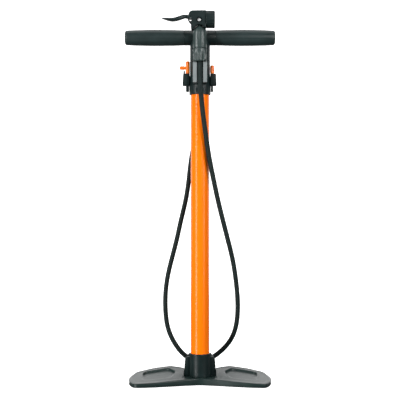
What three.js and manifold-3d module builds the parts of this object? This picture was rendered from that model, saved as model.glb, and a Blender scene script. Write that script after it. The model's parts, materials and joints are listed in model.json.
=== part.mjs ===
// Floor bike pump, as an assembly of separate named solids.
// Millimetres. +Z up, +Y towards the rear, where the gauge and the hose outlet are. The origin is on the floor under the barrel's axis.
import * as THREE from 'three';
import { mergeVertices } from 'three/addons/utils/BufferGeometryUtils.js';
import Module from 'manifold-3d';

const wasm = await Module();
wasm.setup();

// ---------- driving dimensions ----------
const GAP = 0.3; // clearance between neighbouring solids

// barrel and what runs in it
const BARREL_R = 17, BARREL_WALL = 1.4, BARREL_Z0 = 17.4, BARREL_Z1 = 549;
const CYL_R = 14, CYL_WALL = 1, CYL_Z0 = 30.4, CYL_Z1 = 530.6;
const ROD_R = 6, ROD_WALL = 1.2, ROD_Z0 = 50.2, ROD_Z1 = 629;
const STROKE = 460;

// foot
const PLATE_BOTTOM = 1.2, PLATE_CENTRE_TOP = 12;
const SOCKET_R = 19, SOCKET_Z0 = 12.3, SOCKET_Z1 = 55;
const GAUGE_C = [0, 34, 34.6], GAUGE_TILT = 50, BEZEL_R = 22;

// top cap
const COLUMN_R = 18.5, COLLAR_R = 19.8, COLLAR_Z0 = 532, CAP_Z0 = 551.3, CAP_Z1 = 593.7;
const OUTLET_Y = 31, OUTLET_Z = 566;

// handle
const HUB_Z0 = 594.1, HANDLE_Z = 637.8, HUB_HALF = 29.5, HANDLE_HALF = 138.75;
const GRIP_R = 14.9, GRIP_END_R = 13.5, GRIP_ROOT_R = 14.0;

// chuck
const CHUCK_Y = -30.6, HEAD_HALF = 11.5, NUT_X0 = 10.9, NUT_X1 = 27, NUT_R = 15.75, NUT_Z = 666;
const PIVOT = [-17, 670.3], NECK_X = -0.4;

// hose
const HOSE_R = 4.5;

// ---------- helpers ----------
function tidy(geometry, tolerance = 1e-4) {
  let g = geometry.clone();
  g.deleteAttribute('normal');
  g.deleteAttribute('uv');
  g = mergeVertices(g, tolerance);
  const p = g.attributes.position, index = g.index.array, tris = [];
  let volume = 0;
  const a = new THREE.Vector3(), b = new THREE.Vector3(), c = new THREE.Vector3();
  for (let i = 0; i < index.length; i += 3) {
    const [i0, i1, i2] = [index[i], index[i + 1], index[i + 2]];
    if (i0 === i1 || i1 === i2 || i0 === i2) continue;
    a.fromBufferAttribute(p, i0); b.fromBufferAttribute(p, i1); c.fromBufferAttribute(p, i2);
    volume += a.dot(b.cross(c)) / 6;
    tris.push(i0, i1, i2);
  }
  if (volume < 0) for (let i = 0; i < tris.length; i += 3) [tris[i + 1], tris[i + 2]] = [tris[i + 2], tris[i + 1]];
  g.setIndex(tris);
  return g;
}
function solid(geometry) {
  let problem;
  for (const tolerance of [1e-4, 2.3e-4, 7e-4, 1.7e-3]) {
    const g = tidy(geometry, tolerance);
    try {
      return new wasm.Manifold(new wasm.Mesh({
        numProp: 3,
        vertProperties: new Float32Array(g.attributes.position.array),
        triVerts: new Uint32Array(g.index.array),
      }));
    } catch (error) {
      problem = error; // a seam's two edges fell either side of a rounding step, so weld a little wider
    }
  }
  throw problem;
}
function toGeometry(manifold) {
  const m = manifold.getMesh(), positions = new Float32Array(m.numVert * 3);
  for (let i = 0; i < m.numVert; i++) for (let k = 0; k < 3; k++) positions[3 * i + k] = m.vertProperties[i * m.numProp + k];
  const g = new THREE.BufferGeometry();
  g.setAttribute('position', new THREE.BufferAttribute(positions, 3));
  g.setIndex(Array.from(m.triVerts));
  return g;
}
const add = (...all) => all.reduce((a, b) => a.add(b));
const cut = (a, ...all) => all.reduce((x, b) => x.subtract(b), a);

// turned shapes: profile is [[r, z], ...], about Z
function turned(profile, sides = 48) {
  const seg = 2 * Math.max(6, Math.round(sides * 0.31));
  const g = new THREE.LatheGeometry(profile.map(([r, z]) => new THREE.Vector2(Math.max(r, 0), z)), seg);
  g.rotateX(Math.PI / 2);
  return g;
}
const ring = (rIn, rOut, z0, z1, seg = 48) => turned([[rIn, z0], [rOut, z0], [rOut, z1], [rIn, z1], [rIn, z0]], seg);
const rod = (r, z0, z1, seg = 32, x = 0, y = 0) => turned([[0, z0], [r, z0], [r, z1], [0, z1]], seg).translate(x, y, 0);
// the same shapes along X or Y
const alongX = (g) => g.rotateY(Math.PI / 2);
const alongY = (g) => g.rotateX(-Math.PI / 2);
function box(x0, x1, y0, y1, z0, z1) {
  return new THREE.BoxGeometry(x1 - x0, y1 - y0, z1 - z0).translate((x0 + x1) / 2, (y0 + y1) / 2, (z0 + z1) / 2);
}
function outline(points) {
  return new THREE.Shape(points.map(([x, y]) => new THREE.Vector2(x, y)));
}
// a plan outline pulled up from z0 to z1
function plan(points, z0, z1) {
  return new THREE.ExtrudeGeometry(outline(points), { depth: z1 - z0, bevelEnabled: false }).translate(0, 0, z0);
}
// an (x, z) outline pulled along Y from y0 to y1, with a chamfer
function face(points, y0, y1, bevel = 0, segments = 1) {
  const g = new THREE.ExtrudeGeometry(outline(points), {
    depth: y1 - y0 - 2 * bevel, bevelEnabled: bevel > 0, bevelSize: bevel, bevelThickness: bevel, bevelOffset: -bevel, bevelSegments: segments,
  });
  g.rotateX(Math.PI / 2); // (x, y, z) -> (x, -z, y)
  return g.translate(0, y1 - bevel, 0);
}
// a tube along a curve
function swept(points, r, steps, sides = 10, closed = false) {
  const section = new THREE.Shape();
  for (let i = 0; i < sides; i++) {
    const t = (i / sides) * 2 * Math.PI;
    section[i ? 'lineTo' : 'moveTo'](r * Math.cos(t), r * Math.sin(t));
  }
  section.closePath();
  const curve = new THREE.CatmullRomCurve3(points.map((p) => new THREE.Vector3(...p)), closed, 'centripetal');
  curve.arcLengthDivisions = 2000;
  return new THREE.ExtrudeGeometry(section, { steps, bevelEnabled: false, extrudePath: curve });
}

const pump = new THREE.Group();
pump.name = 'floor_pump';
const finish = (color, roughness, metalness = 0) => ({ color, roughness, metalness });
const ORANGE = finish(0xfe8702, 0.28), BLACK = finish(0x2e3a3a, 0.5), SOFT = finish(0x2b3535, 0.75), GREY = finish(0x6c7675, 0.55);
const STEEL = finish(0xc3c6c8, 0.25, 1), BRASS = finish(0xb78a3c, 0.35, 1), RUBBER = finish(0x1b1e1e, 0.85), ACCENT = finish(0xff6a13, 0.4);
const WHITE = finish(0xf1f1ec, 0.5), CLEAR = finish(0xffffff, 0.05), ALU = finish(0xb9bcbe, 0.35, 1), RED = finish(0xc6261c, 0.45);
function part(name, shape, look, parent = pump) {
  const geometry = toGeometry(shape instanceof THREE.BufferGeometry ? solid(shape) : shape);
  const material = new THREE.MeshStandardMaterial(look);
  const mesh = new THREE.Mesh(geometry, material);
  mesh.name = name;
  parent.add(mesh);
  return mesh;
}

// ---------- foot ----------
const REAR = [[31, 19], [40, 20.5], [56, 21.7], [85, 18], [96, 16.5], [105, 15], [116, 14], [135, 12.5]];
function rearHeight(ax) {
  if (ax <= REAR[0][0]) return REAR[0][1];
  for (let i = 1; i < REAR.length; i++) if (ax <= REAR[i][0]) {
    const [x0, z0] = REAR[i - 1], [x1, z1] = REAR[i];
    return z0 + (z1 - z0) * (ax - x0) / (x1 - x0);
  }
  return REAR[REAR.length - 1][1];
}
function plateTop(x, y) {
  const ax = Math.abs(x), front = 10.5 - 0.0446 * (ax - 52), yf = -26 - 0.22 * Math.min(ax, 110);
  const t = Math.min(1, Math.max(0, (y - yf) / (50 - yf)));
  return front + (rearHeight(ax) - front) * t;
}
// everything above the plate's top surface, moved by dz
function above(dz) {
  const g = new THREE.BoxGeometry(280, 116, 1, 16, 5, 1), p = g.attributes.position;
  for (let i = 0; i < p.count; i++) p.setZ(i, p.getZ(i) < 0 ? plateTop(p.getX(i), p.getY(i)) + dz : 70);
  return solid(g);
}
const half = [[27, -32], [63, -42.5], [90, -49], [108, -51], [115, -50.6], [119, -48], [123, -39], [126, -30], [128, -21], [130, -5], [129.4, 12], [126, 26], [120, 35], [116, 40], [105, 45], [96, 48], [85, 50], [58, 51], [40, 48.6], [30, 47]];
const plateOutline = [[0, -26], ...half, ...half.map(([x, y]) => [-x, y]).reverse()];
const recess = [[101, 30], [61, 35], [44, 18], [52, -12], [60, -17], [96, -23], [103, -18]];
let plate = cut(solid(plan(plateOutline, PLATE_BOTTOM, 40)), above(0));
for (const s of [1, -1]) {
  const poly = recess.map(([x, y]) => [s * x, y]);
  plate = plate.subtract(solid(plan(poly, 2, 60)).intersect(above(-2.6)));
  // ribbed hollow under each wing
  plate = cut(plate, solid(box(Math.min(s * 36, s * 64), Math.max(s * 36, s * 64), -28, 36, 0, 5)), solid(box(Math.min(s * 67, s * 96), Math.max(s * 67, s * 96), -34, 34, 0, 4.6)));
}
plate = cut(plate, solid(box(-29.9, 29.9, -20.2, 60, PLATE_CENTRE_TOP, 40)));
const pads = { foot_pad_front_left: [-109, -41], foot_pad_front_right: [109, -41], foot_pad_rear_left: [-106, 34], foot_pad_rear_right: [106, 34] };
for (const [x, y] of Object.values(pads)) plate = cut(plate, solid(rod(7.3, 0, 3.2, 24, x, y)));
const screws = { base_screw_1: [-11, -4], base_screw_2: [11, -4], base_screw_3: [-24.3, 20], base_screw_4: [24.3, 20] };
for (const [x, y] of Object.values(screws)) plate = cut(plate, solid(rod(4.4, 0, 4.6, 20, x, y)), solid(rod(2.4, 0, 30, 20, x, y)));
part('base_plate', plate, BLACK);
for (const [name, [x, y]] of Object.entries(pads)) part(name, rod(7, 0, 2.9, 24, x, y), RUBBER);
for (const [name, [x, y]] of Object.entries(screws)) part(name, turned([[0, 1.8], [4, 1.8], [4, 4.2], [2, 4.2], [2, 15.8], [0, 15.8]], 16).translate(x, y, 0), STEEL);

// socket that the barrel stands in
let socket = solid(turned([[0, SOCKET_Z0], [18.7, SOCKET_Z0], [SOCKET_R, 20], [SOCKET_R, 46], [19.5, SOCKET_Z1 - 0.6], [18.9, SOCKET_Z1], [BARREL_R + GAP, SOCKET_Z1], [BARREL_R + GAP, 17.1], [0, 17.1]]));
for (const n of ['base_screw_1', 'base_screw_2']) socket = cut(socket, solid(rod(2.3, 0, 40, 20, ...screws[n])));
part('barrel_socket', socket, BLACK);

// gauge housing behind the socket; its sloping face carries the gauge
const tilt = THREE.MathUtils.degToRad(GAUGE_TILT);
const onFace = (g) => g.rotateX(-tilt).translate(...GAUGE_C); // local +Z becomes the face's outward normal
const sideProfile = [[3, 12.3], [46, 12.3], [48.6, 17.2], [GAUGE_C[1] - 14.9, 52.3 - 0.1], [19, 47.3], [3, 47.3]];
let housing = solid(new THREE.ExtrudeGeometry(outline(sideProfile), { depth: 60, bevelEnabled: false }).rotateZ(Math.PI / 2).rotateY(Math.PI / 2).translate(-30, 0, 0));
const frontView = [[-29.5, 12], [29.5, 12], [28.2, 41], [22.4, 47.3], [20.5, 53], [-20.5, 53], [-22.4, 47.3], [-28.2, 41]];
housing = housing.intersect(solid(face(frontView, 0, 60)));
housing = cut(housing, solid(rod(19.9, 0, 60)), solid(onFace(rod(16, -4.5, 20, 40))), solid(onFace(rod(6.8, -11.5, 0, 24))));
for (const n of ['base_screw_3', 'base_screw_4']) housing = cut(housing, solid(rod(2.3, 0, 18, 20, ...screws[n])));
part('gauge_housing', housing, BLACK);
part('gauge_bezel', onFace(turned([[18.6, 0.3], [BEZEL_R - 0.4, 0.3], [BEZEL_R, 0.8], [BEZEL_R, 2.6], [BEZEL_R - 1, 3.3], [17, 3.3], [17, 2.3], [18.6, 2.3], [18.6, 0.3]], 48)), SOFT);
part('gauge_lens', onFace(rod(18.3, 0.4, 2, 48)), CLEAR);
part('gauge_dial', onFace(ring(1.6, 15.7, -4.2, -3.2, 40)), WHITE);
part('gauge_movement', onFace(turned([[0, -11.2], [6.4, -11.2], [6.4, -4.7], [1.5, -4.7], [1.5, -8], [0, -8]], 24)), BRASS);
const start = THREE.MathUtils.degToRad(45); // the needle's rest, at the dial's zero
const blade = [[-3.4, -0.8], [0, -1.1], [13, -0.25], [13, 0.25], [0, 1.1], [-3.4, 0.8]];
const needle = add(solid(rod(2.1, -2.6, -1.6, 20)), solid(plan(blade, -2.5, -1.8).rotateZ(start)));
part('gauge_needle', toGeometry(add(needle, solid(rod(1.1, -7.6, -2.1, 16)))).applyMatrix4(new THREE.Matrix4().makeRotationX(-tilt).setPosition(...GAUGE_C)), RED);

// ---------- barrel, inner cylinder and check valve ----------
part('barrel_tube', ring(BARREL_R - BARREL_WALL, BARREL_R, BARREL_Z0, BARREL_Z1, 56), ORANGE);
part('inner_cylinder', ring(CYL_R - CYL_WALL, CYL_R, CYL_Z0, CYL_Z1, 40), ALU);
let block = solid(turned([[4.8, 17.4], [15.2, 17.4], [15.2, 21], [13.6, 21], [13.6, 24], [15.2, 24], [15.2, 30.1], [2.4, 30.1], [2.4, 26.4], [4.8, 26.4], [4.8, 17.4]], 40));
for (const a of [0, 1, 2]) block = cut(block, solid(alongX(rod(1.1, 0, 18, 12)).rotateZ(a * 2.1 + 0.4).translate(0, 0, 25.2)));
part('valve_block', block, ALU);
part('valve_block_seal', turned([[13.9, 21.3], [15.3, 21.3], [15.3, 23.7], [13.9, 23.7], [13.9, 21.3]], 40), RUBBER);
part('check_valve_poppet', turned([[0, 24.3], [4.2, 24.3], [4.2, 25.4], [3.4, 26.1], [0, 26.1]], 24), BRASS);
part('valve_retainer', ring(1.8, 4.5, 17.6, 18.6, 24), STEEL);
const coil = [];
for (let i = 0; i <= 30; i++) coil.push([3 * Math.cos(i * Math.PI / 5), 3 * Math.sin(i * Math.PI / 5), 19.4 + 4.1 * i / 30]);
part('check_valve_spring', swept(coil, 0.35, 30, 5), STEEL);

// ---------- piston and rod ----------
const rodTube = turned([[2.3, ROD_Z0], [ROD_R, ROD_Z0], [ROD_R, ROD_Z1], [ROD_R - ROD_WALL, ROD_Z1], [ROD_R - ROD_WALL, 66], [2.3, 66], [2.3, ROD_Z0]], 32);
part('piston_rod', cut(solid(rodTube), solid(alongY(rod(2.3, -20, 20, 16)).translate(0, 0, 612))), STEEL);
part('piston', turned([[2.3, 37.2], [12.6, 37.2], [12.6, 40.2], [11.1, 40.2], [11.1, 45], [12.6, 45], [12.6, 49.9], [2.3, 49.9], [2.3, 37.2]], 40), BLACK);
part('piston_seal', turned([[11.4, 40.5], [12.8, 40.5], [12.8, 43], [12.2, 44.7], [11.4, 44.7], [11.4, 40.5]], 40), RUBBER);
part('piston_screw', turned([[0, 33.6], [4.4, 33.6], [4.4, 36.9], [2, 36.9], [2, 62], [0, 62]], 20), STEEL);

// ---------- top cap ----------
let collar = solid(turned([[BARREL_R + GAP, COLLAR_Z0], [19.2, COLLAR_Z0], [COLLAR_R, 533], [COLLAR_R, 550.4], [19.2, 551], [BARREL_R + GAP, 551], [BARREL_R + GAP, COLLAR_Z0]]));
for (const s of [1, -1]) collar = cut(collar, solid(box(Math.min(s * 4.6, s * 7), Math.max(s * 4.6, s * 7), -21, -18.3, 536, 543.5)));
part('cap_collar', collar, BLACK);
part('barrel_cap', turned([[11, 531], [BARREL_R - BARREL_WALL - 0.3, 531], [BARREL_R - BARREL_WALL - 0.3, CAP_Z0], [COLUMN_R, CAP_Z0], [COLUMN_R, CAP_Z1 - 0.6], [COLUMN_R - 0.6, CAP_Z1], [9.3, CAP_Z1], [9.3, 582], [7.2, 582], [7.2, 556], [11, 552], [11, 531]]), BLACK);
part('rod_bush', turned([[6.12, 582.3], [9, 582.3], [9, 593], [6.6, 593], [6.12, 592.4], [6.12, 582.3]], 40), BRASS);
// channel that holds the chuck's boot and the hose
let clip = add(solid(box(-13, 13, -22.8, -14, 552, 589.6)), solid(box(-13, -5.5, -31.4, -20, 552, 589.6)), solid(box(5.5, 13, -31.4, -20, 552, 589.6)));
clip = cut(clip, solid(rod(COLUMN_R + GAP, 500, 620, 64)));
part('chuck_dock', clip, GREY);
// saddle round the back of the cap with a pocket on each side for the adapters
const pod = (x0, x1, x2, x3) => [[x0, 548.8], [x1, 548.8], [x2, 571], [x3, 571]];
let holder = add(
  solid(ring(20.1, 22.4, 552, 568, 48)).subtract(solid(box(-30, 30, -30, -4, 500, 600))),
  solid(face([[-32.3, 549], [-19, 549], [-19, 571], [-31.3, 571], [-31.9, 560]], -7.5, 7.5, 0.8)),
  solid(face([[19, 549], [30.6, 549], [30.2, 560], [29.6, 571], [19, 571]], -7.5, 7.5, 0.8)),
  solid(box(-26, -20.1, -5, 5, 538, 550)), solid(box(20.1, 24.4, -5, 5, 538, 550)),
  solid(box(-31, -27.6, -2.6, 2.6, 570, 576.8)));
holder = cut(holder, solid(rod(3.1, 553, 600, 20, -22.7)), solid(rod(3.1, 553, 600, 20, 22.6)), solid(rod(COLUMN_R + GAP, 551.15, 620, 64)), solid(rod(COLLAR_R + GAP, 500, 551.3, 64)));
part('adapter_holder', holder, BLACK);
part('ball_adapter', add(solid(turned([[0, 554], [2.8, 554], [2.8, 571.6], [3.7, 571.6], [3.8, 573], [3.8, 592.6], [2.6, 594.6], [0, 594.6]], 24).translate(-22.7, 0, 0)),
  solid(alongX(turned([[0, -37.6], [3, -37.2], [3.4, -36], [3.4, -24], [0, -24]], 20)).translate(0, 0, 582.1))), ACCENT);
part('valve_adapter', add(solid(turned([[0, 554], [2.8, 554], [2.8, 571.6], [3.5, 572.4], [3.5, 584], [2.2, 587], [0, 587]], 10).translate(22.6, 0, 0))), ACCENT);
// outlet at the back of the cap, where the hose starts
let outlet = add(solid(alongY(rod(6.2, 15, OUTLET_Y, 28)).translate(0, 0, OUTLET_Z)), solid(turned([[0, 549], [5.6, 549], [6.4, 550], [6.4, 569], [4.6, 572.6], [0, 572.6]], 28).translate(0, OUTLET_Y, 0)));
outlet = cut(outlet, solid(rod(COLUMN_R + GAP, 500, 620, 64)), solid(rod(2, 540, 566, 16, 0, OUTLET_Y)));
part('hose_outlet', outlet.subtract(solid(ring(20.0, 22.5, 551.6, 568.4, 48))), BLACK);
part('hose_boot_rear', turned([[2.2, 526], [5.4, 526], [5.6, 530], [6.3, 547], [6.3, 548.7], [2.2, 548.7], [2.2, 526]], 24).translate(0, OUTLET_Y, 0), RUBBER);

// ---------- handle ----------
let hub = add(solid(turned([[0, HUB_Z0], [COLUMN_R, HUB_Z0], [COLUMN_R, 631], [17, 639], [12.5, 647], [0, 649]], 56)), solid(alongX(rod(14, -HUB_HALF, HUB_HALF, 40)).translate(0, 0, HANDLE_Z)));
hub = cut(hub, solid(rod(6.4, 500, 631, 32)), solid(alongX(rod(8.5, -60, 60, 32)).translate(0, 0, HANDLE_Z)), solid(alongY(rod(2.3, -30, 30, 16)).translate(0, 0, 612)));
part('handle_hub', hub, BLACK);
part('hub_pin', alongY(rod(2, -17.4, 17.4, 16)).translate(0, 0, 612), STEEL);
part('handle_tube', alongX(ring(6.6, 8.1, -133.4, 133.4, 32)).translate(0, 0, HANDLE_Z), STEEL);
const grip = [[8.5, HUB_HALF + 0.4], [13.6, HUB_HALF + 0.4], [GRIP_ROOT_R, HUB_HALF + 1], [14.6, 50], [GRIP_R, 74], [GRIP_R, 90], [14.3, 118], [GRIP_END_R, 135], [12.8, 137.4], [10.8, HANDLE_HALF], [0, HANDLE_HALF], [0, 134], [8.5, 134], [8.5, HUB_HALF + 0.4]];
part('grip_right', alongX(turned(grip, 36)).translate(0, 0, HANDLE_Z), SOFT);
part('grip_left', alongX(turned(grip, 36)).rotateZ(Math.PI).translate(0, 0, HANDLE_Z), SOFT);

// ---------- chuck ----------
const headOutline = [[-14.4, 646.6], [-13.3, 646.4], [-9.4, 651.2], [-5.2, 654.4], [-0.8, 655.6], [3.6, 654.4], [7.6, 651.2], [10.2, 647.4], [10.6, 650.6], [10.6, 682], [-17.2, 682], [-19.3, 677], [-21.2, 672.8], [-22.4, 668.4], [-21.6, 664], [-19.4, 660.4], [-16.6, 657.4], [-16.4, 650.2]];
const y0 = CHUCK_Y - HEAD_HALF, y1 = CHUCK_Y + HEAD_HALF;
let head = solid(face(headOutline, y0, y1));
const inChuck = (g) => g.translate(0, CHUCK_Y, 0);
head = cut(head,
  solid(inChuck(alongX(rod(6.9, -11.2, 20, 32)).translate(0, 0, NUT_Z))),
  solid(box(-30, -9, CHUCK_Y - 3.9, CHUCK_Y + 3.9, 666.9, 690)),
  solid(inChuck(alongX(rod(3.4, -12.6, 0, 20)).translate(0, 0, NUT_Z))),
  solid(alongY(rod(1.75, -60, 0, 16)).translate(PIVOT[0], 0, PIVOT[1])),
  solid(face([[-20.3, 665.6], [-19.4, 663.2], [-16.4, 662.6], [-14.8, 664], [-15, 665.8], [-17.4, 666.3], [-19.6, 666.2]], y0 - 5, y1 + 5)),
  solid(alongY(rod(5.4, y0 - 5, y0 + 2, 28)).translate(-1.5, 0, 663.6)),
  solid(inChuck(rod(4.6, 640, 656.8, 24, NECK_X))));
part('chuck_body', head, BLACK);
part('chuck_side_pin', alongY(turned([[0, y0 + 0.2], [3.2, y0 + 0.2], [3.6, y0 + 0.6], [3.6, y0 + 1.7], [0, y0 + 1.7]], 24)).translate(-1.5, 0, 663.6), STEEL);
// neck and the boot on the hose
const oval = (g, a, b) => g.scale(a, b, 1).translate(NECK_X, CHUCK_Y, 0);
let neck = add(solid(oval(turned([[0, 613.8], [0.96, 613.8], [1, 615], [1, 640], [0.9, 646], [0.62, 651], [0.3, 653.4], [0, 654.2]], 36), 12.6, 10.6)), solid(inChuck(rod(4.3, 650, 656.5, 24, NECK_X))));
neck = cut(neck, solid(rod(COLUMN_R + 0.6, 500, 700, 64)));
part('chuck_neck', neck, GREY);
part('chuck_boot', cut(solid(oval(turned([[0.18, 590], [0.92, 590], [1, 592], [1, 604], [0.94, 613.4], [0.18, 613.4], [0.18, 590]], 36), 13, 10.6)), solid(rod(COLUMN_R + 0.6, 500, 700, 64))), SOFT);
// fluted nut, its seal and the plunger that squeezes it
const flutes = 22, nutSection = [];
for (let i = 0; i < flutes * 4; i++) {
  const r = [NUT_R, NUT_R, NUT_R - 0.9, NUT_R - 0.9][i % 4], t = (i / (flutes * 4)) * 2 * Math.PI;
  nutSection.push([r * Math.cos(t), r * Math.sin(t)]);
}
let nut = solid(alongX(plan(nutSection, NUT_X0, NUT_X1)));
nut = cut(nut, solid(alongX(rod(8, NUT_X0 - 1, 24.2, 32))), solid(alongX(rod(4.8, 0, 40, 28)))).translate(0, CHUCK_Y, NUT_Z);
part('valve_nut', nut, BLACK);
part('chuck_seal', alongX(ring(3.4, 7.7, 14, 23.9, 28)).translate(0, CHUCK_Y, NUT_Z), RUBBER);
part('chuck_plunger', alongX(turned([[0, -11.7], [3, -11.7], [3, -10.8], [3, -10.7], [6.6, -10.7], [6.6, 4], [2.2, 4], [2.2, 0], [0, 0]], 28)).translate(0, CHUCK_Y, NUT_Z), ALU);
// lever, with a cam lobe on its hub
const leverOutline = [[-19.4, 673.2], [-23, 673.9], [-28, 674.6], [-32.9, 674.1], [-38.3, 672.3], [-47, 669.8], [-57, 668.4], [-65, 668.9], [-69.2, 669], [-69.4, 668.2], [-67.4, 666.6], [-61.9, 664.3], [-54.7, 662.6], [-46, 662.4], [-35, 664.6], [-24, 667.2], [-19.4, 667.6]];
let lever = add(solid(face(leverOutline, CHUCK_Y - 3.5, CHUCK_Y + 3.5)), solid(alongY(rod(3.2, CHUCK_Y - 3.5, CHUCK_Y + 3.5, 24)).translate(PIVOT[0], 0, PIVOT[1])),
  solid(box(PIVOT[0] - 2.4, PIVOT[0] + 2.4, CHUCK_Y - 3.5, CHUCK_Y + 3.5, PIVOT[1], PIVOT[1] + 7.7)),
  solid(face([[-30, 674.2], [-38.3, 671.9], [-47, 669.4], [-57, 668], [-65, 668.4], [-68.4, 668.2], [-67, 667], [-61.9, 665], [-54.7, 663.4], [-46, 663.2], [-36, 665.4], [-30, 668]], CHUCK_Y - 6.5, CHUCK_Y + 6.5)));
lever = cut(lever, solid(alongY(rod(1.8, -60, 0, 16)).translate(PIVOT[0], 0, PIVOT[1])));
part('chuck_lever', lever, BLACK);
part('lever_pin', alongY(rod(1.45, y0 + 0.8, y1 - 0.8, 16)).translate(PIVOT[0], 0, PIVOT[1]), STEEL);

// ---------- hose ----------
// centre points in mm, from the boot on the chuck, down in front, round behind the foot and up to the outlet
const HOSE = [[0, -30.6, 589.6], [0, -30.6, 570], [0.3, -30.4, 548], [2.2, -29.8, 525], [4.6, -28.6, 500], [8.8, -26.4, 470], [12.8, -23.4, 440], [17.4, -19.4, 411.5], [25.1, -13.5, 374.7], [32.9, -7.4, 338], [42.2, -1.2, 301], [51.8, 5.6, 263.7], [61.2, 12.8, 226.6], [67.2, 20.4, 188.6], [71.1, 28, 150],
  [71.2, 33, 124], [68.8, 38, 99.5], [61.4, 42.6, 76], [50.4, 46.6, 58.2], [37.6, 49.6, 46], [19, 52.2, 33.6], [0, 53.2, 29.6], [-19, 52.4, 33.2], [-37.6, 50.4, 45.6], [-53, 47.6, 71], [-61, 44.8, 91.8], [-65.2, 42.2, 122], [-65.7, 40.4, 160], [-60.8, 38.8, 197], [-53, 37.6, 228], [-43.6, 36.6, 264], [-36, 35.8, 300.2], [-26.6, 35, 338], [-21, 34, 375.8], [-17.8, 33.2, 408],
  [-12, 32.4, 440], [-5, 31.6, 470], [-0.8, 31, 500], [0, 31, 525.7]];
part('hose', swept(HOSE, HOSE_R, 64, 8), SOFT);

export default pump;
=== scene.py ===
import math
import json

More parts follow.
